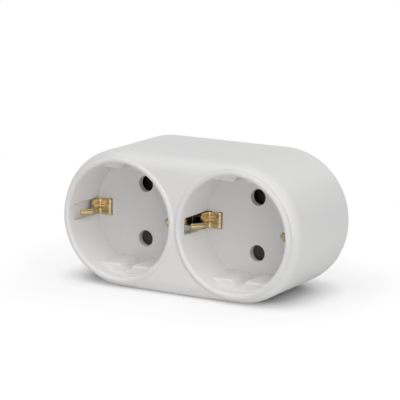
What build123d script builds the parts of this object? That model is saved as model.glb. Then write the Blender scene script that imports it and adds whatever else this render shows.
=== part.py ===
from build123d import *
import os
from math import cos, radians, sin

# Two-way mains adapter, in millimetres. X runs along the body, Z is up and the sockets face -Y.
# Depths are counted along +Y from the flat front face, heights from the flat side it lies on.

# Socket wells
WELL_DIAMETER = 39.0
WELL_GAP = 4.4              # plastic left between the two wells
RIM_LAND = 4.1              # plastic between a well and the outside of the body
FLOOR_DEPTH = 18.0
FLOOR_THICKNESS = 2.4
BEAD_RADIUS = 1.05          # section of the rounded bead round each mouth
BEAD_RISE = 0.6             # how far the bead stands proud of the face
FLAT_INSET = 3.1            # the keying flats stand this far into the round well
FLAT_START = 5.5            # depth where the flats begin
FLAT_LEAD = 0.5             # chamfer on the front edge of the flats
GROOVE_WIDTH = 5.0          # groove between the two halves of a flat
GROOVE_BOTTOM = 2.6         # width of its bottom, between sloping sides
GROOVE_INSET = 1.3          # the groove's bottom, from the round wall
PIN_PITCH = 19.0
PIN_HOLE_DIAMETER = 5.6

# Moulded shells
EDGE_ROUND = 5.0
SHELL_WALL = 2.3
CUP_WALL = 1.9
COVER_THICKNESS = 2.3
SPIGOT_DEPTH = 2.0
SPIGOT_WALL = 1.3
SHELL_FIT = 0.1             # gap between the cover's spigot and the housing

# Shutters
SHUTTER_RADIUS = 12.4
SHUTTER_HALF_ANGLE = 19.0   # each lobe covers its hole by this much either side
SHUTTER_TURN = 36.0
SHUTTER_HUB = 4.0
SHUTTER_THICKNESS = 3.5
SHUTTER_PLAY = 0.3
RAMP_DEPTH = 2.6
POST_RADIUS = 1.5
POST_FIT = 0.08
RING_WALL = 1.0
STOP_REACH = 1.2            # how far a stop stands in from the ring wall
STOP_ANGLE = 5.0
STOP_GAP_ANGLE = 1.5
RETAINER_THICKNESS = 1.3
PEG_RADIUS = 0.6
PEG_FROM_TIP = 1.0          # a peg stands this far short of the tip of the leg it meets

# Shutter spring
SPRING_WIRE = 0.5
SPRING_FACETS = 8           # the thin wire is eight-sided, which keeps the coil light
SPRING_RADIUS = 2.6
SPRING_TURNS = 2.25
SPRING_PITCH = 0.55
SPRING_START = 150.0        # where the coil starts round the post, from +X towards +Z
SPRING_GAP = 0.5            # room beside the coil and between its legs and the pegs
SPRING_LEG = 5.5            # leg that the shutter's peg pushes
SPRING_ANCHOR = 8.0         # leg held by the retainer's peg

# Brass and pins
SHEET = 0.7                 # earth strip thickness
EARTH_WIDTH = 5.4
EARTH_SLACK = 0.15          # room round the earth strips where they pass the plastic
FOOT_LENGTH = 4.65          # clip's foot, from its blade to the leg behind the floor
KNEE_INSET = 0.9            # the blade stands this far inside the round wall at the foot
SHOULDER_INSET = 0.8        # at the shoulder, where the upper half of the blade ends
SHOULDER_RISE = 5.0         # rises are counted from the floor towards the mouth
NOSE_INSET = 5.4            # at the nose that presses on a plug
NOSE_RISE = 9.6
TIP_INSET = 2.1
TIP_RISE = 14.2
TONGUE_WIDTH = 2.1          # blade left beyond the shoulder
SHOULDER_ROUND = 1.2
CLIP_RECESS = 1.0           # recess in the outer wall behind a clip
SLOPE_START_RISE = 1.5      # the blade's lower edge slopes up to the tongue between these
SLOPE_END_RISE = 8.5
NOSE_BEND = 1.6
KNEE_BEND = 1.3
RIB_RADIUS = 0.85           # stiffening rib pressed along the clip
RIB_HEIGHT = 0.5
BEND_RADIUS = 0.7
STRIP_THICKNESS = 0.8
STRIP_WIDTH = 7.0
LEAF_WIDTH = 6.0
LEAF_PINCH = 2.6            # from the pin's axis to the middle of a leaf where it grips
LEAF_MOUTH = 3.3
LEAF_ROOT = 3.1
LEAF_LEAD = 2.2
LEAF_GAP = 0.6              # between the leaves and the retainer
STRIP_END = 0.8             # strip left beyond the outer leaf
PIN_DIAMETER = 4.8
PIN_LENGTH = 19.0
PIN_TIP_ROUND = 2.0
PIN_SHANK_DIAMETER = 5.2
PIN_SHANK_FIT = 0.05
PIN_COLLAR_DIAMETER = 7.8
PIN_COLLAR = 1.5
PIN_END_GAP = 0.6           # between a plugged-in pin and the strip behind it
TENON_RADIUS = 1.5
TENON_FIT = 0.05
TENON_HEAD_RADIUS = 2.4
TENON_HEAD = 0.8
STRIP_PAD = 1.6             # cover pads behind the contact strips
RIVET_RADIUS = 1.2
RIVET_FIT = 0.05
RIVET_HEAD_RADIUS = 2.0
RIVET_HEAD = 0.6
LINK_END = 3.3              # link left beyond its outer rivets

# Plug on the back
PLUG_DIAMETER = 36.8
PLUG_HEIGHT = 17.5
PLUG_WALL = 4.5
PLUG_END_WALL = 3.0
PLUG_FLAT_GAP = 0.4         # plug's flats against the flats of a well
PLUG_ROUND = 1.2
PLUG_CONTACT_SINK = 1.2     # side contacts lie this far inside the round plug
PLUG_CONTACT_END = 1.0
PIN_BOSS_RADIUS = 4.8
PIN_BOSS = 9.0

# Screws
BOSS_RADIUS = 2.4
BOSS_GAP = 0.4
BOSS_ANGLE = 38.0
SCREW_RADIUS = 1.3
SCREW_FIT = 0.05
SCREW_LENGTH = 12.0
SCREW_END_GAP = 1.0
SCREW_HEAD_RADIUS = 2.4
SCREW_HEAD = 1.3
SCREW_HEAD_FIT = 0.25
SCREW_SLOT = 0.7
SCREW_SLOT_DEPTH = 0.7
EAR_RADIUS = 2.2
EAR_GAP = 0.7
SMALL_SCREW_RADIUS = 0.9
SMALL_SCREW_LENGTH = 5.0
SMALL_HEAD_RADIUS = 1.7
SMALL_HEAD = 1.1

# Sizes worked out from those above
WELL_RADIUS = WELL_DIAMETER / 2
FLAT_DISTANCE = WELL_RADIUS - FLAT_INSET
CUP_RADIUS = WELL_RADIUS + CUP_WALL
BODY_RADIUS = WELL_RADIUS + RIM_LAND
BODY_HEIGHT = 2 * BODY_RADIUS
CAVITY_RADIUS = BODY_RADIUS - SHELL_WALL
WELL_PITCH = WELL_DIAMETER + WELL_GAP
WELL_X = WELL_PITCH / 2
MID_HEIGHT = BODY_RADIUS
PIN_Z = PIN_PITCH / 2
FLOOR_BACK = FLOOR_DEPTH + FLOOR_THICKNESS
SHUTTER_FRONT = FLOOR_BACK + SHUTTER_PLAY
SHUTTER_BACK = SHUTTER_FRONT + SHUTTER_THICKNESS
SPRING_FRONT = SHUTTER_BACK + SPRING_GAP
SPRING_ROOM = SPRING_TURNS * SPRING_PITCH + SPRING_WIRE + 2 * SPRING_GAP
RETAINER_FRONT = SHUTTER_BACK + SPRING_ROOM
RETAINER_BACK = RETAINER_FRONT + RETAINER_THICKNESS
RING_INNER = SHUTTER_RADIUS + SHUTTER_PLAY
RING_OUTER = RING_INNER + RING_WALL
LINK_FRONT = RETAINER_BACK + SHEET
PLUG_BASE_FRONT = LINK_FRONT + SHEET
STRIP_FRONT = FLOOR_DEPTH + PIN_LENGTH + PIN_END_GAP
STRIP_BACK = STRIP_FRONT + STRIP_THICKNESS
SEAM = STRIP_BACK + STRIP_PAD
BODY_DEPTH = SEAM + COVER_THICKNESS
BOSS_END = SEAM - SPIGOT_DEPTH
PLUG_RADIUS = PLUG_DIAMETER / 2
PLUG_END = BODY_DEPTH + PLUG_HEIGHT
PLUG_CAVITY = PLUG_RADIUS - PLUG_WALL
PLUG_CONTACT = PLUG_RADIUS - PLUG_CONTACT_SINK - SHEET / 2
PIN_RADIUS = PIN_DIAMETER / 2
PIN_SHANK_RADIUS = PIN_SHANK_DIAMETER / 2
PIN_TIP = PLUG_END + PIN_LENGTH
EAR_Z = RING_OUTER + EAR_GAP + EAR_RADIUS
BOSS_REACH = RING_OUTER + BOSS_GAP + BOSS_RADIUS
EARTH_ROOM = EARTH_WIDTH + 2 * EARTH_SLACK
CLIP_KNEE = WELL_RADIUS - KNEE_INSET
EARTH_LEG = CLIP_KNEE - FOOT_LENGTH
CLIP_TIP_DEPTH = FLOOR_DEPTH - TIP_RISE
MID_DEPTH = (PIN_TIP - BEAD_RISE) / 2
PAST = 1.0                  # cutters run this far past what they cut
SIDES = {"left": -WELL_X, "right": WELL_X}


def slab(sketch, front, back, x=0.0):
    """A sketch with x right and z up, as a solid between two depths, centred on a well or the body."""
    plane = Plane(origin=(x, back, MID_HEIGHT), x_dir=(1, 0, 0), z_dir=(0, -1, 0))
    return extrude(plane * sketch, amount=back - front)


def turned(outline, x):
    """A closed outline of (radius, depth) turned about a well's axis."""
    plane = Plane(origin=(x, 0, MID_HEIGHT), x_dir=(1, 0, 0), z_dir=(0, 0, 1))
    return revolve(plane * make_face(outline), axis=Axis((x, 0, MID_HEIGHT), (0, 1, 0)))


def rod(radius, front, back, x=0.0, z=0.0):
    return slab(Pos(0, z) * Circle(radius), front, back, x)


def block(x_low, x_high, front, back, half_height, x=0.0, z=0.0):
    """A box given by its sides in X, its depths and half its height."""
    across = Pos((x_low + x_high) / 2, z) * Rectangle(x_high - x_low, 2 * half_height)
    return slab(across, front, back, x)


def wedge(start, end, radius):
    """A pie slice between two angles, counted from +X towards +Z."""
    spread = radius / cos(radians((end - start) / 2))
    near = (spread * cos(radians(start)), spread * sin(radians(start)))
    far = (spread * cos(radians(end)), spread * sin(radians(end)))
    return make_face(Polyline((0, 0), near, far, close=True)) & Circle(radius)


def bent_strip(points, radii, x=0.0):
    """An earth strip folded along points in (x, depth), with its width along Z."""
    route = [(x + px, py, MID_HEIGHT) for px, py in points]
    path = FilletPolyline(*route, radius=radii)
    start = Plane(origin=path @ 0, x_dir=(0, 0, 1), z_dir=path % 0)
    return sweep(start * Rectangle(EARTH_WIDTH, SHEET), path=path)


def body_outline(radius):
    return SlotCenterToCenter(WELL_PITCH, 2 * radius)


def whole_body():
    """The outside of the closed body, rounded front and back, before it is split at the seam."""
    body = slab(body_outline(BODY_RADIUS), 0, BODY_DEPTH)
    ends = body.edges().group_by(Axis.Y)
    return fillet(ends[0] + ends[-1], EDGE_ROUND)


def bead_ring(x):
    """The rounded bead round a well's mouth, sunk into the face."""
    crest = WELL_RADIUS + BEAD_RADIUS
    middle = BEAD_RADIUS - BEAD_RISE
    over = CenterArc((crest, middle), BEAD_RADIUS, 0, -180)
    sunk = middle + BEAD_RADIUS
    rest = Polyline(over @ 1, (WELL_RADIUS, sunk), (crest + BEAD_RADIUS, sunk), over @ 0)
    return turned(over + rest, x)


def bead_seat(x):
    """The part of the face that the inner half of the bead takes the place of."""
    return rod(WELL_RADIUS + BEAD_RADIUS, -PAST, 2 * BEAD_RADIUS - BEAD_RISE, x)


def side_plane(x):
    """The plane of depth and height at one side of a well, facing across it."""
    return Plane(origin=(x - WELL_RADIUS, 0, MID_HEIGHT), x_dir=(0, 1, 0), z_dir=(1, 0, 0))


def keyed_well(x):
    """The deep part of a well: round between two flats, each with a groove along its middle."""
    lead_end = FLAT_START + FLAT_LEAD
    upper = [(FLAT_START, FLAT_DISTANCE + FLAT_LEAD), (lead_end, FLAT_DISTANCE), (FLOOR_DEPTH, FLAT_DISTANCE)]
    lower = [(depth, -height) for depth, height in reversed(upper)]
    between_flats = make_face(Polyline(*upper, *lower, close=True))
    well = extrude(side_plane(x) * between_flats, amount=WELL_DIAMETER)
    groove_side = [(GROOVE_WIDTH / 2, FLAT_DISTANCE), (GROOVE_BOTTOM / 2, WELL_RADIUS - GROOVE_INSET)]
    groove_top = groove_side + [(-across, height) for across, height in reversed(groove_side)]
    groove_low = [(-across, -height) for across, height in groove_top]
    well += slab(make_face(Polyline(*groove_top, *groove_low, close=True)), FLAT_START, FLOOR_DEPTH, x)
    return well & rod(WELL_RADIUS, FLAT_START, FLOOR_DEPTH, x)


def clip_space(x):
    """Room for both earth clips of a well: slits for their legs in its floor, and a place to give way.

    Between the wells that is a slot through the wall and past the floor, outside a shallow recess."""
    towards_middle = -1 if x > 0 else 1
    space = Part()
    for side in (-1, 1):
        leg_face = EARTH_LEG - SHEET / 2 - EARTH_SLACK
        room = block(leg_face, EARTH_LEG + BEND_RADIUS, FLOOR_DEPTH - PAST, FLOOR_BACK + PAST, EARTH_ROOM / 2)
        reach = WELL_X if side == towards_middle else WELL_RADIUS + CLIP_RECESS
        room += block(CLIP_KNEE, reach, CLIP_TIP_DEPTH - PAST, FLOOR_DEPTH, EARTH_ROOM / 2)
        if side == towards_middle:
            room += block(CLIP_KNEE - KNEE_BEND, reach, FLOOR_DEPTH - PAST, FLOOR_BACK + PAST, EARTH_ROOM / 2)
        space += Pos(x, 0, 0) * (room if side > 0 else mirror(room, about=Plane.YZ))
    return space


def shutter_ring(x):
    """Two curved walls behind the floor round the shutter. The lower one stops it at both ends of its turn."""
    opened = 90 - SHUTTER_TURN - SHUTTER_HALF_ANGLE - STOP_GAP_ANGLE
    rest = 90 + SHUTTER_HALF_ANGLE + STOP_GAP_ANGLE
    guard = Circle(RING_OUTER) - Circle(RING_INNER)
    stops = Circle(RING_OUTER) - Circle(RING_INNER - STOP_REACH)
    arcs = Sketch()
    for half_turn in (0, 180):
        arcs += guard & wedge(opened - STOP_ANGLE + half_turn, rest + STOP_ANGLE + half_turn, 2 * RING_OUTER)
    for start in (180 + opened - STOP_ANGLE, 180 + rest):
        arcs += stops & wedge(start, start + STOP_ANGLE, 2 * RING_OUTER)
    return slab(arcs, FLOOR_BACK - PAST, RETAINER_FRONT, x)


def cover_screw_places():
    """Screw axes (x, z) at the outer side of each well."""
    reach_x = WELL_X + BOSS_REACH * cos(radians(BOSS_ANGLE))
    reach_z = BOSS_REACH * sin(radians(BOSS_ANGLE))
    return [(sx * reach_x, sz * reach_z) for sx in (-1, 1) for sz in (-1, 1)]


def front_housing():
    """Deep one-piece shell: front face, beads, wells and side walls, open at the back."""
    past_outline = Rectangle(4 * WELL_PITCH, 4 * BODY_HEIGHT)
    shell = whole_body() & slab(past_outline, -PAST, SEAM)
    hollow = slab(body_outline(CAVITY_RADIUS), SHELL_WALL, SEAM + PAST)
    for x in SIDES.values():
        hollow -= rod(CUP_RADIUS, 0, FLOOR_BACK, x)
    shell -= hollow
    for x in SIDES.values():
        shell -= bead_seat(x)
        shell -= rod(WELL_RADIUS, 0, FLAT_START, x)
        shell += bead_ring(x)
        shell -= keyed_well(x)
        shell -= clip_space(x)
        shell += shutter_ring(x)
        shell += rod(POST_RADIUS, FLOOR_BACK - PAST, RETAINER_BACK - RIVET_HEAD, x)
        for side in (-1, 1):
            shell -= rod(PIN_HOLE_DIAMETER / 2, FLOOR_DEPTH - PAST, FLOOR_BACK + PAST, x, side * PIN_Z)
            shell += rod(EAR_RADIUS, FLOOR_BACK - PAST, RETAINER_FRONT, x, side * EAR_Z)
            ear_hole = SMALL_SCREW_RADIUS + SCREW_FIT
            shell -= rod(ear_hole, FLOOR_BACK, RETAINER_FRONT + PAST, x, side * EAR_Z)
    for x, z in cover_screw_places():
        shell += rod(BOSS_RADIUS, FLOOR_BACK - PAST, BOSS_END, x, z)
        hole_end = BODY_DEPTH - SCREW_HEAD - SCREW_LENGTH - SCREW_END_GAP
        shell -= rod(SCREW_RADIUS + SCREW_FIT, hole_end, BOSS_END + PAST, x, z)
    return shell


def rear_cover():
    """Back of the body with the round plug: a plate with a spigot, pads for the strips and a hollow plug."""
    past_outline = Rectangle(4 * WELL_PITCH, 4 * BODY_HEIGHT)
    cover = whole_body() & slab(past_outline, SEAM, BODY_DEPTH + PAST)
    outside = CAVITY_RADIUS - SHELL_FIT
    spigot = slab(body_outline(outside), BOSS_END, SEAM + PAST)
    cover += spigot - slab(body_outline(outside - SPIGOT_WALL), BOSS_END - PAST, SEAM)
    flats = Rectangle(2 * PLUG_DIAMETER, 2 * (FLAT_DISTANCE - PLUG_FLAT_GAP))
    plug = slab(Circle(PLUG_RADIUS) & flats, SEAM, PLUG_END)
    plug = fillet(plug.edges().group_by(Axis.Y)[-1], PLUG_ROUND)
    cover += plug
    cover -= rod(PLUG_CAVITY, BOSS_END, PLUG_END - PLUG_END_WALL)
    bore = PIN_SHANK_RADIUS + PIN_SHANK_FIT
    for side in (-1, 1):
        boss_front = PLUG_END - PLUG_END_WALL - PIN_BOSS
        cover += rod(PIN_BOSS_RADIUS, boss_front, PLUG_END - PAST, 0, side * PIN_Z)
        cover -= rod(bore, boss_front - PAST, PLUG_END + PAST, 0, side * PIN_Z)
        low = PLUG_CONTACT - SHEET / 2 - SHELL_FIT
        leg_slot = block(low, PLUG_CONTACT + SHEET / 2 + SHELL_FIT, SEAM - PAST, BODY_DEPTH, EARTH_ROOM / 2)
        side_slot = block(low, PLUG_DIAMETER, BODY_DEPTH, PLUG_END + PAST, EARTH_ROOM / 2)
        slots = leg_slot + side_slot
        cover -= slots if side > 0 else mirror(slots, about=Plane.YZ)
        for x in SIDES.values():
            pad_half = LEAF_WIDTH / 2
            cover += block(-pad_half, pad_half, STRIP_BACK, SEAM + PAST, LEAF_ROOT, x, side * PIN_Z)
    for x, z in cover_screw_places():
        cover += rod(BOSS_RADIUS, BOSS_END, SEAM + PAST, x, z)
        cover -= rod(SCREW_RADIUS + SCREW_FIT, BOSS_END - PAST, BODY_DEPTH + PAST, x, z)
        cover -= rod(SCREW_HEAD_RADIUS + SCREW_HEAD_FIT, BODY_DEPTH - SCREW_HEAD, BODY_DEPTH + PAST, x, z)
    return cover


def screw(radius, length, head_radius, head, seat, x, z):
    """A pan-head screw with a cross recess. Its shank runs to the front of its seat."""
    face = seat + head
    body = rod(head_radius, seat, face, x, z) + rod(radius, seat - length, seat, x, z)
    body = chamfer(body.edges().group_by(Axis.Y)[0], radius / 3)
    arm = head_radius - SCREW_SLOT
    for wide, tall in ((arm, SCREW_SLOT / 2), (SCREW_SLOT / 2, arm)):
        body -= block(-wide, wide, face - SCREW_SLOT_DEPTH, face + PAST, tall, x, z)
    return body


def cover_screws():
    seat = BODY_DEPTH - SCREW_HEAD
    return [
        screw(SCREW_RADIUS, SCREW_LENGTH, SCREW_HEAD_RADIUS, SCREW_HEAD, seat, x, z)
        for x, z in cover_screw_places()
    ]


def retainer_screws():
    return [
        screw(SMALL_SCREW_RADIUS, SMALL_SCREW_LENGTH, SMALL_HEAD_RADIUS, SMALL_HEAD, RETAINER_BACK,
              x, side * EAR_Z)
        for x in SIDES.values()
        for side in (-1, 1)
    ]


def shutter(x):
    """Turning shutter: two lobes on a hub, each with a ramp that a pair of pins pushes aside."""
    lobes = Sketch() + Circle(SHUTTER_HUB)
    for centre in (90, 270):
        lobes += wedge(centre - SHUTTER_HALF_ANGLE, centre + SHUTTER_HALF_ANGLE, SHUTTER_RADIUS)
    rotor = slab(lobes, SHUTTER_FRONT, SHUTTER_BACK)
    reach = SHUTTER_RADIUS * sin(radians(SHUTTER_HALF_ANGLE))
    high = (reach, SHUTTER_FRONT)
    low = (-reach, SHUTTER_FRONT + RAMP_DEPTH)
    ramp = make_face(Polyline(high, low, (low[0], high[1] - PAST), (high[0], high[1] - PAST), close=True))
    lift = MID_HEIGHT + SHUTTER_HUB
    ramp_cut = extrude(Plane.XY.offset(lift) * ramp, amount=SHUTTER_RADIUS)
    axle = Axis((0, 0, MID_HEIGHT), (0, 1, 0))
    rotor -= ramp_cut
    rotor -= ramp_cut.rotate(axle, 180)
    peg = spring_peg(0, -1, SPRING_LEG)
    rotor += rod(PEG_RADIUS, SHUTTER_BACK - PAST, RETAINER_FRONT - SPRING_GAP, *peg)
    rotor -= rod(POST_RADIUS + POST_FIT, SHUTTER_FRONT - PAST, RETAINER_BACK)
    return Pos(x, 0, 0) * rotor


def spring_plane(x):
    """The coil's own frame: its axis points back and its start lies on the frame's x axis."""
    start = radians(SPRING_START)
    origin = (x, SPRING_FRONT + SPRING_WIRE / 2, MID_HEIGHT)
    return Plane(origin=origin, x_dir=(cos(start), 0, sin(start)), z_dir=(0, 1, 0))


def spring_peg(coil_angle, way, length):
    """Where the peg outside a leg stands, as (x, z) from the post's axis."""
    turn = radians(coil_angle)
    out = SPRING_RADIUS + SPRING_WIRE / 2 + SPRING_GAP + PEG_RADIUS
    along = way * (length - PEG_FROM_TIP)
    across = (out * cos(turn) - along * sin(turn), -out * sin(turn) - along * cos(turn), 0)
    place = spring_plane(0).from_local_coords(across)
    return place.X, place.Z - MID_HEIGHT


def shutter_spring(x):
    """Torsion spring round the post, with one leg on the shutter's peg and one on the retainer's."""
    coil = Helix(SPRING_PITCH, SPRING_PITCH * SPRING_TURNS, SPRING_RADIUS, lefthand=True)
    leg = Line(coil @ 0 - (coil % 0) * SPRING_LEG, coil @ 0)
    anchor = Line(coil @ 1, coil @ 1 + (coil % 1) * SPRING_ANCHOR)
    path = leg + coil + anchor
    section = RegularPolygon(SPRING_WIRE / 2, SPRING_FACETS)
    return spring_plane(x) * sweep(Plane(origin=path @ 0, z_dir=path % 0) * section, path=path)


def shutter_retainer(x):
    """Plate behind the shutter, on the ring walls and two screwed ears, open for pins and earth legs."""
    outline = Circle(RING_OUTER)
    for side in (-1, 1):
        ear = Pos(0, side * EAR_Z) * Circle(EAR_RADIUS)
        outline += ear + Pos(0, side * EAR_Z / 2) * Rectangle(2 * EAR_RADIUS, EAR_Z)
    for side in (-1, 1):
        leg_inside = EARTH_LEG - BEND_RADIUS - EARTH_SLACK
        outline -= Pos(side * (leg_inside + RING_OUTER), 0) * Rectangle(2 * RING_OUTER, EARTH_ROOM)
        outline -= Pos(0, side * PIN_Z) * Circle(PIN_HOLE_DIAMETER / 2 + SHELL_FIT)
        outline -= Pos(0, side * EAR_Z) * Circle(SMALL_SCREW_RADIUS + SCREW_FIT)
    plate = slab(outline, RETAINER_FRONT, RETAINER_BACK, x)
    peg_x, peg_z = spring_peg(360 * SPRING_TURNS, 1, SPRING_ANCHOR)
    plate += rod(PEG_RADIUS, SHUTTER_BACK + SPRING_GAP, RETAINER_BACK, x + peg_x, peg_z)
    plate -= rod(POST_RADIUS + POST_FIT, RETAINER_FRONT - PAST, RETAINER_BACK + PAST, x)
    return plate - rod(RIVET_HEAD_RADIUS + SHELL_FIT, RETAINER_BACK - RIVET_HEAD, RETAINER_BACK + PAST, x)


def contact_strip(z):
    """Stamped brass strip with a sprung fork behind one pin hole of each well."""
    reach = WELL_X + LEAF_WIDTH / 2 + STRIP_END
    strip = block(-reach, reach, STRIP_FRONT, STRIP_BACK, STRIP_WIDTH / 2, 0, z)
    mouth = RETAINER_BACK + LEAF_GAP
    grip = mouth + LEAF_LEAD
    root = STRIP_FRONT + STRIP_THICKNESS / 2
    fork = [(LEAF_MOUTH, mouth), (LEAF_PINCH, grip), (LEAF_ROOT, root)]
    fork += [(-across, depth) for across, depth in reversed(fork)]
    radii = [LEAF_LEAD, BEND_RADIUS, BEND_RADIUS, LEAF_LEAD]
    for x in SIDES.values():
        route = [(x, depth, MID_HEIGHT + z + across) for across, depth in fork]
        path = FilletPolyline(*route, radius=radii)
        start = Plane(origin=path @ 0, x_dir=(1, 0, 0), z_dir=path % 0)
        strip += sweep(start * Rectangle(LEAF_WIDTH, STRIP_THICKNESS), path=path)
    return strip - rod(TENON_RADIUS + TENON_FIT, STRIP_FRONT - PAST, STRIP_BACK + PAST, 0, z)


def plug_pin(z):
    """Solid round pin with a collar behind its boss and a tenon headed over on its contact strip."""
    collar_back = PLUG_END - PLUG_END_WALL - PIN_BOSS
    pin = rod(PIN_RADIUS, PLUG_END - PAST, PIN_TIP, 0, z)
    pin = fillet(pin.edges().group_by(Axis.Y)[-1], PIN_TIP_ROUND)
    pin += rod(PIN_SHANK_RADIUS, STRIP_BACK, PLUG_END, 0, z)
    pin += rod(PIN_COLLAR_DIAMETER / 2, collar_back - PIN_COLLAR, collar_back, 0, z)
    pin += rod(TENON_RADIUS, STRIP_FRONT - PAST / 2, STRIP_BACK + PAST, 0, z)
    return pin + rod(TENON_HEAD_RADIUS, STRIP_FRONT - TENON_HEAD, STRIP_FRONT, 0, z)


def clip_trims(x):
    """What is cut from both blades of a well, to leave a round shoulder, a sloping lower edge and a tongue."""
    front = CLIP_TIP_DEPTH - PAST
    edge = EARTH_WIDTH / 2
    shoulder = FLOOR_DEPTH - SHOULDER_RISE
    full = FLOOR_DEPTH - SLOPE_START_RISE
    narrow = (FLOOR_DEPTH - SLOPE_END_RISE, -TONGUE_WIDTH / 2)
    outline = [(shoulder, edge), (FLOOR_DEPTH, edge), (full, -edge), narrow, (shoulder, 0)]
    blade = make_face(Polyline(*outline, close=True))
    blade = fillet(blade.vertices().group_by(Axis.Y)[-1].sort_by(Axis.X)[0], SHOULDER_ROUND)
    blade += Pos((front + full) / 2, 0) * Rectangle(full - front, TONGUE_WIDTH)
    whole = Pos((front + full) / 2, 0) * Rectangle(full - front, EARTH_WIDTH + 2 * PAST)
    return extrude(side_plane(x) * (whole - blade), amount=WELL_DIAMETER)


def earth_bracket(x):
    """Folded brass strip: a base behind the retainer, legs through the floor and a ribbed clip at each end."""
    foot = FLOOR_DEPTH - SHEET / 2
    base = RETAINER_BACK + SHEET / 2
    clip = [
        (WELL_RADIUS - TIP_INSET, CLIP_TIP_DEPTH),
        (WELL_RADIUS - NOSE_INSET, FLOOR_DEPTH - NOSE_RISE),
        (WELL_RADIUS - SHOULDER_INSET, FLOOR_DEPTH - SHOULDER_RISE),
        (CLIP_KNEE, foot),
    ]
    clip_bends = [NOSE_BEND, NOSE_BEND, KNEE_BEND]
    half = clip + [(EARTH_LEG, foot), (EARTH_LEG, base)]
    points = [(-px, py) for px, py in half] + list(reversed(half))
    radii = clip_bends + [BEND_RADIUS, BEND_RADIUS]
    strip = bent_strip(points, radii + list(reversed(radii)), x) - clip_trims(x)
    rib_route = [(-px, py, MID_HEIGHT) for px, py in clip + [(EARTH_LEG + BEND_RADIUS, foot)]]
    rib_line = FilletPolyline(*rib_route, radius=clip_bends)
    start = Plane(origin=rib_line @ 0, x_dir=(0, 0, 1), z_dir=rib_line % 0)
    front_half = Pos(0, EARTH_WIDTH / 2) * Rectangle(EARTH_WIDTH, EARTH_WIDTH)
    rib_section = front_half & Pos(0, SHEET / 2 + RIB_HEIGHT - RIB_RADIUS) * Circle(RIB_RADIUS)
    rib = sweep(start * rib_section, path=rib_line)
    strip += Pos(x, 0, 0) * rib
    strip += Pos(x, 0, 0) * mirror(rib, about=Plane.YZ)
    return strip - rod(RIVET_RADIUS + RIVET_FIT, RETAINER_BACK - PAST, LINK_FRONT + PAST, x)


def earth_link():
    """Flat brass strip that joins the two socket brackets to the plug's bracket."""
    reach = WELL_X + LINK_END
    link = block(-reach, reach, LINK_FRONT, PLUG_BASE_FRONT, EARTH_WIDTH / 2)
    for x in (-WELL_X, 0, WELL_X):
        link -= rod(RIVET_RADIUS + RIVET_FIT, LINK_FRONT - PAST, PLUG_BASE_FRONT + PAST, x)
    return link


def plug_earth_bracket():
    """Folded brass strip: a base on the link and a straight side contact along each side of the plug."""
    base = PLUG_BASE_FRONT + SHEET / 2
    end = PLUG_END - PLUG_CONTACT_END
    points = [(-PLUG_CONTACT, end), (-PLUG_CONTACT, base), (PLUG_CONTACT, base), (PLUG_CONTACT, end)]
    strip = bent_strip(points, BEND_RADIUS)
    return strip - rod(RIVET_RADIUS + RIVET_FIT, PLUG_BASE_FRONT - PAST, PLUG_BASE_FRONT + SHEET + PAST)


def earth_rivets():
    """Rivets through the brackets and the link, headed on both sides."""
    rivets = []
    for x, front in ((-WELL_X, RETAINER_BACK), (WELL_X, RETAINER_BACK), (0, LINK_FRONT)):
        back = front + 2 * SHEET
        rivet = rod(RIVET_RADIUS, front - RIVET_HEAD, back + RIVET_HEAD, x)
        rivet += rod(RIVET_HEAD_RADIUS, front - RIVET_HEAD, front, x)
        rivets.append(rivet + rod(RIVET_HEAD_RADIUS, back, back + RIVET_HEAD, x))
    return rivets


def save(node, shape):
    """Write a piece, or a group of like pieces, with the origin under the middle of the object."""
    solids = shape if isinstance(shape, list) else [shape]
    moved = [Pos(0, -MID_DEPTH, 0) * one for one in solids]
    export_step(moved[0] if len(moved) == 1 else Compound(children=moved), f"parts/{node}.step")


os.makedirs("parts", exist_ok=True)
save("front_housing", front_housing())
save("rear_cover", rear_cover())
save("cover_screws", cover_screws())
save("line_contact_strip", contact_strip(PIN_Z))
save("neutral_contact_strip", contact_strip(-PIN_Z))
save("line_pin", plug_pin(PIN_Z))
save("neutral_pin", plug_pin(-PIN_Z))
save("earth_link", earth_link())
save("plug_earth_bracket", plug_earth_bracket())
save("earth_rivets", earth_rivets())
save("retainer_screws", retainer_screws())
for name, well_x in SIDES.items():
    save(f"{name}_earth_bracket", earth_bracket(well_x))
    save(f"{name}_shutter", shutter(well_x))
    save(f"{name}_shutter_spring", shutter_spring(well_x))
    save(f"{name}_shutter_retainer", shutter_retainer(well_x))
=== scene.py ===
from math import radians

import bpy
from mathutils import Matrix, Vector

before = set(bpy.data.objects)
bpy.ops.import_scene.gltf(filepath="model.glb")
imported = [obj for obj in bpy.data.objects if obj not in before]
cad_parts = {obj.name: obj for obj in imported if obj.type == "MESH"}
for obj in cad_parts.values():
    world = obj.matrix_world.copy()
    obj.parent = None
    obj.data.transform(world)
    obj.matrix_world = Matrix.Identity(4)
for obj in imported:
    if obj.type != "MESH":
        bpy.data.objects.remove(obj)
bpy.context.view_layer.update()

# Front housing: the deep white shell with both socket wells, moulded in one piece from ABS.
# The mould leaves a fine satin grain all over, and every edge comes out slightly rounded.


def shade(owner, kind, **sockets):
    """A shader node of one kind in a material or world, with its constant sockets set."""
    node = owner.node_tree.nodes.new(kind)
    for name, value in sockets.items():
        node.inputs[name.replace("_", " ")].default_value = value
    return node


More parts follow.
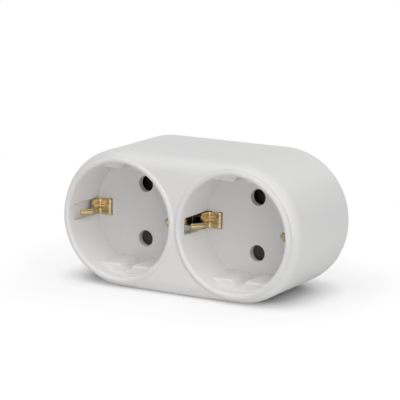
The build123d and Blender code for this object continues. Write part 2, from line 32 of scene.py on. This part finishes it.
def finish(name, dark, light, patch, rough, grain, depth, stretch=(1, 1, 1), round_edges=0.0, **surface):
    """A material whose colour drifts between two tones in patches, with a fine grain in gloss and relief.

    patch and grain are the sizes of those marks and depth the grain's height, in metres.
    rough is the lowest and highest roughness, and stretch scales the marks along each axis."""
    noise_low, noise_high = 0.3, 0.7
    material = bpy.data.materials.new(name)
    material.use_nodes = True
    nodes, links = material.node_tree.nodes, material.node_tree.links
    nodes.clear()
    out = nodes.new("ShaderNodeOutputMaterial")
    plain = shade(material, "ShaderNodeBsdfPrincipled", **surface)
    links.new(plain.outputs["BSDF"], out.inputs["Surface"])
    place = nodes.new("ShaderNodeTexCoord")
    turn = shade(material, "ShaderNodeMapping", Scale=stretch)
    links.new(place.outputs["Object"], turn.inputs["Vector"])
    patches = shade(material, "ShaderNodeTexNoise", Scale=1 / patch, Detail=3.0, Roughness=0.55)
    fine = shade(material, "ShaderNodeTexNoise", Scale=1 / grain, Detail=4.0, Roughness=0.6)
    for noise in (patches, fine):
        links.new(turn.outputs["Vector"], noise.inputs["Vector"])
    tones = nodes.new("ShaderNodeValToRGB")
    for end, level, colour in zip(tones.color_ramp.elements, (noise_low, noise_high), (dark, light)):
        end.position = level
        end.color = (*colour, 1)
    links.new(patches.outputs["Fac"], tones.inputs["Fac"])
    links.new(tones.outputs["Color"], plain.inputs["Base Color"])
    gloss = shade(
        material, "ShaderNodeMapRange",
        From_Min=noise_low, From_Max=noise_high, To_Min=rough[0], To_Max=rough[1],
    )
    links.new(fine.outputs["Fac"], gloss.inputs["Value"])
    links.new(gloss.outputs["Result"], plain.inputs["Roughness"])
    relief = shade(material, "ShaderNodeBump", Strength=0.35, Distance=depth)
    links.new(fine.outputs["Fac"], relief.inputs["Height"])
    if round_edges:
        edges = shade(material, "ShaderNodeBevel", Radius=round_edges)
        edges.samples = 6
        links.new(edges.outputs["Normal"], relief.inputs["Normal"])
    links.new(relief.outputs["Normal"], plain.inputs["Normal"])
    return material


def dress(material, *names):
    """Give CAD nodes a finish."""
    for name in names:
        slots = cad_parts[name].data.materials
        slots.clear()
        slots.append(material)


white_abs = finish(
    "white_abs", dark=(0.838, 0.829, 0.825), light=(0.854, 0.845, 0.841), patch=0.03,
    rough=(0.44, 0.56), grain=0.00016, depth=0.000012, round_edges=0.00045, IOR=1.5,
)
dress(white_abs, "front_housing")

# Shutters: turning flaps of dark plastic behind the pin holes, each on a post of the housing.
# Retainer plates of the same plastic hold them, screwed to two ears of the housing.
dark_plastic = finish(
    "dark_plastic", dark=(0.036, 0.031, 0.030), light=(0.052, 0.046, 0.044), patch=0.004,
    rough=(0.42, 0.6), grain=0.00025, depth=0.00002, round_edges=0.0002, IOR=1.5,
)
dress(dark_plastic, "left_shutter", "right_shutter", "left_shutter_retainer", "right_shutter_retainer")

# Shutter springs: torsion springs coiled from drawn steel wire, one round the post of each shutter.
# The bare wire is bright and a little uneven in gloss, and each spring turns its shutter shut.
spring_wire = finish(
    "spring_wire", dark=(0.36, 0.36, 0.37), light=(0.5, 0.5, 0.51), patch=0.002,
    rough=(0.22, 0.36), grain=0.0002, depth=0.000006, Metallic=1.0,
)
dress(spring_wire, "left_shutter_spring", "right_shutter_spring")

# Earth brackets, their link and the plug's side contacts: stamped and folded from rolled brass strip.
# Rolling leaves faint straight lines along the strip. Brass rivets join them.
rolled_brass = finish(
    "rolled_brass", dark=(0.45, 0.335, 0.165), light=(0.72, 0.58, 0.35), patch=0.0011,
    rough=(0.18, 0.32), grain=0.0008, depth=0.00025, stretch=(0.015, 0.015, 1.0),
    round_edges=0.0003, Metallic=1.0,
)
dress(
    rolled_brass,
    "left_earth_bracket", "right_earth_bracket", "earth_link", "plug_earth_bracket", "earth_rivets",
)

# Contact strips: brass strips that run behind both wells, one for each side of the mains.
# Each is stamped and bent in one piece, with a sprung fork behind a pin hole of each well.
contact_brass = finish(
    "contact_brass", dark=(0.60, 0.45, 0.22), light=(0.70, 0.55, 0.30), patch=0.008,
    rough=(0.26, 0.4), grain=0.0003, depth=0.000012, stretch=(0.25, 2.0, 2.0),
    round_edges=0.0002, Metallic=1.0,
)
dress(contact_brass, "line_contact_strip", "neutral_contact_strip")

# Plug pins: turned brass rod with rounded ends, nickel plated, held in the plug body.
# The fine rings of turning still show through the plating.
nickel_plate = finish(
    "nickel_plate", dark=(0.56, 0.54, 0.50), light=(0.61, 0.59, 0.55), patch=0.006,
    rough=(0.1, 0.2), grain=0.0004, depth=0.000012, stretch=(0.1, 3.0, 0.1),
    round_edges=0.0002, Metallic=1.0,
)
dress(nickel_plate, "line_pin", "neutral_pin")

# Rear cover: the moulded back with the round plug body, in the same white plastic as the housing.
# It closes the housing from behind.
dress(white_abs, "rear_cover")

# Screws: zinc-plated steel with a cross recess.
# Four close the rear cover, and two small ones hold each retainer plate.
zinc_plate = finish(
    "zinc_plate", dark=(0.52, 0.53, 0.55), light=(0.64, 0.65, 0.66), patch=0.003,
    rough=(0.28, 0.42), grain=0.0003, depth=0.00001, round_edges=0.0002, Metallic=1.0,
)
dress(zinc_plate, "cover_screws", "retainer_screws")

# Floor: a sheet of pale paper that runs a long way behind the adapter. Where it is seen, straight or in a
# reflection, it takes the adapter's real shadow, but its colour is painted: painted shade darkens it
# close to the adapter's front, and painted light brightens it with the distance from the adapter and
# washes that shadow out, until it ends in plain white.


def seen_ray(owner):
    """One for what is seen straight, in a reflection or through glass, zero for light on things, so that
    reflections can show painted light brighter than the light given.
    """
    path = owner.node_tree.nodes.new("ShaderNodeLightPath")
    total = path.outputs["Is Camera Ray"]
    for kind in ("Is Glossy Ray", "Is Transmission Ray"):
        more = owner.node_tree.nodes.new("ShaderNodeMath")
        more.operation = "MAXIMUM"
        owner.node_tree.links.new(total, more.inputs[0])
        owner.node_tree.links.new(path.outputs[kind], more.inputs[1])
        total = more.outputs["Value"]
    return total


bpy.ops.object.select_all(action="DESELECT")
bpy.ops.mesh.primitive_grid_add(x_subdivisions=8, y_subdivisions=8, size=12, location=(0, 0, 0))
floor = bpy.context.object
floor.name = "paper_floor"
pure_white = (1, 1, 1, 1)
paper = bpy.data.materials.new("white_paper")
paper.use_nodes = True
paper_nodes, paper_links = paper.node_tree.nodes, paper.node_tree.links
paper_nodes.clear()
paper_out = paper_nodes.new("ShaderNodeOutputMaterial")
true_paper = shade(paper, "ShaderNodeBsdfDiffuse", Color=(0.92, 0.92, 0.92, 1))
painted_seen_paper = paper_nodes.new("ShaderNodeBsdfDiffuse")

# The distance from a box under the adapter's front, as a share of the distance where all is white.
shadow_middle, shadow_half = (-0.003, -0.016, 0), (0.0315, 0.005, 0)
white_after = 0.2
depth_share = 0.8
steps = (
    ("SUBTRACT", shadow_middle), ("ABSOLUTE", None), ("SUBTRACT", shadow_half), ("MAXIMUM", (0, 0, 0)),
    ("MULTIPLY", (1 / white_after, depth_share / white_after, 0)), ("LENGTH", None),
)
paper_place = paper_nodes.new("ShaderNodeTexCoord")
away = paper_place.outputs["Object"]
for step, size in steps:
    measure = paper_nodes.new("ShaderNodeVectorMath")
    measure.operation = step
    paper_links.new(away, measure.inputs[0])
    if size:
        measure.inputs[1].default_value = size
    away = measure.outputs["Value" if step == "LENGTH" else "Vector"]

# The seen colour rises with that distance, from painted shade darker than the paper by the adapter's
# front to painted light brighter than it further off, and the share of plain white with it.
painted_shade_to_light = shade(paper, "ShaderNodeMapRange", From_Min=0.0, From_Max=0.26, To_Min=0.66, To_Max=1.6)
paper_links.new(away, painted_shade_to_light.inputs["Value"])
paper_links.new(painted_shade_to_light.outputs["Result"], painted_seen_paper.inputs["Color"])
white = shade(paper, "ShaderNodeEmission", Color=pure_white, Strength=1.0)
# Painted light: a share of glowing plain white over the paper, none by the adapter's front and most
# further off, washes the real shadow out.
painted_white_share = paper_nodes.new("ShaderNodeValToRGB")
painted_white_share.color_ramp.elements[0].position = 0.027
painted_white_share.color_ramp.elements[0].color = (0, 0, 0, 1)
for place, level in ((0.092, 0.78), (0.35, 0.8)):
    painted_white_share.color_ramp.elements.new(place).color = (level, level, level, 1)
painted_white_share.color_ramp.elements[-1].color = pure_white
paper_links.new(away, painted_white_share.inputs["Fac"])
distance = paper_nodes.new("ShaderNodeMixShader")
paper_links.new(painted_white_share.outputs["Color"], distance.inputs["Fac"])
paper_links.new(painted_seen_paper.outputs["BSDF"], distance.inputs[1])
paper_links.new(white.outputs["Emission"], distance.inputs[2])
# Light cast by the floor comes from the true paper; what is seen or reflected is the painted shade and
# light.
pick = paper_nodes.new("ShaderNodeMixShader")
paper_links.new(seen_ray(paper), pick.inputs["Fac"])
paper_links.new(true_paper.outputs["BSDF"], pick.inputs[1])
paper_links.new(distance.outputs["Shader"], pick.inputs[2])
paper_links.new(pick.outputs["Shader"], paper_out.inputs["Surface"])
floor.data.materials.append(paper)

# Light: a weak even white tent round the adapter, seen as plain white and reflected at that full white as
# a painted reflection and sheen, far brighter than the light it gives, and five broad soft boxes.
# One hangs above, one in front, two at the right, of which the lower fills the wells, and one behind.
scene = bpy.context.scene
tent = bpy.data.worlds.new("light_tent")
tent.use_nodes = True
scene.world = tent
tent_nodes, tent_links = tent.node_tree.nodes, tent.node_tree.links
tent_nodes.clear()
tent_out = tent_nodes.new("ShaderNodeOutputWorld")
tent_light = shade(tent, "ShaderNodeBackground", Color=pure_white, Strength=0.16)
# Painted reflection: what is seen or reflected shows the tent at full white, several times the light it
# gives.
tent_backdrop_and_painted_reflection = shade(tent, "ShaderNodeBackground", Color=pure_white, Strength=1.0)
tent_pick = tent_nodes.new("ShaderNodeMixShader")
tent_links.new(seen_ray(tent), tent_pick.inputs["Fac"])
tent_links.new(tent_light.outputs["Background"], tent_pick.inputs[1])
tent_links.new(tent_backdrop_and_painted_reflection.outputs["Background"], tent_pick.inputs[2])
tent_links.new(tent_pick.outputs["Shader"], tent_out.inputs["Surface"])


def soft_box(name, place, side, watts, aim=(0, 0, 0.02)):
    """A square lamp that faces a point, by default the lower middle of the adapter."""
    lamp = bpy.data.lights.new(name, "AREA")
    lamp.shape = "SQUARE"
    lamp.size = side
    lamp.energy = watts
    holder = bpy.data.objects.new(name, lamp)
    scene.collection.objects.link(holder)
    holder.location = place
    holder.rotation_euler = (Vector(aim) - Vector(place)).to_track_quat("-Z", "Y").to_euler()


soft_box("overhead_box", place=(-0.25, -0.38, 1.0), side=0.55, watts=3.2, aim=(0, 0.05, 0.02))
soft_box("front_box", place=(0, -0.75, 0.95), side=0.7, watts=2.1)
soft_box("side_box", place=(0.85, -0.55, 0.75), side=0.6, watts=2.5)
soft_box("fill_box", place=(0.95, -0.85, 0.3), side=0.9, watts=4.0)
soft_box("back_box", place=(0.4, 0.9, 0.85), side=0.7, watts=1.8)

# Camera: a long lens from the right and a little above, as in the photograph.
# Its angles, roll and place are those at which the adapter's edges fall as they do there.
view_azimuth, view_elevation, view_roll = radians(29.5795), radians(11.4326), radians(0.629)
view_place = (0.34902, -0.6368, 0.17297)
lens = bpy.data.cameras.new("camera")
lens.sensor_width = 36
lens.lens = 193.084
lens.clip_start = 0.01
lens.clip_end = 50
camera = bpy.data.objects.new("camera", lens)
scene.collection.objects.link(camera)
sideways = Matrix.Rotation(view_azimuth, 4, "Z")
tilt = Matrix.Rotation(radians(90) - view_elevation, 4, "X")
roll = Matrix.Rotation(view_roll, 4, "Z")
camera.matrix_world = Matrix.Translation(view_place) @ sideways @ tilt @ roll
scene.camera = camera

scene.view_settings.view_transform = "Standard"
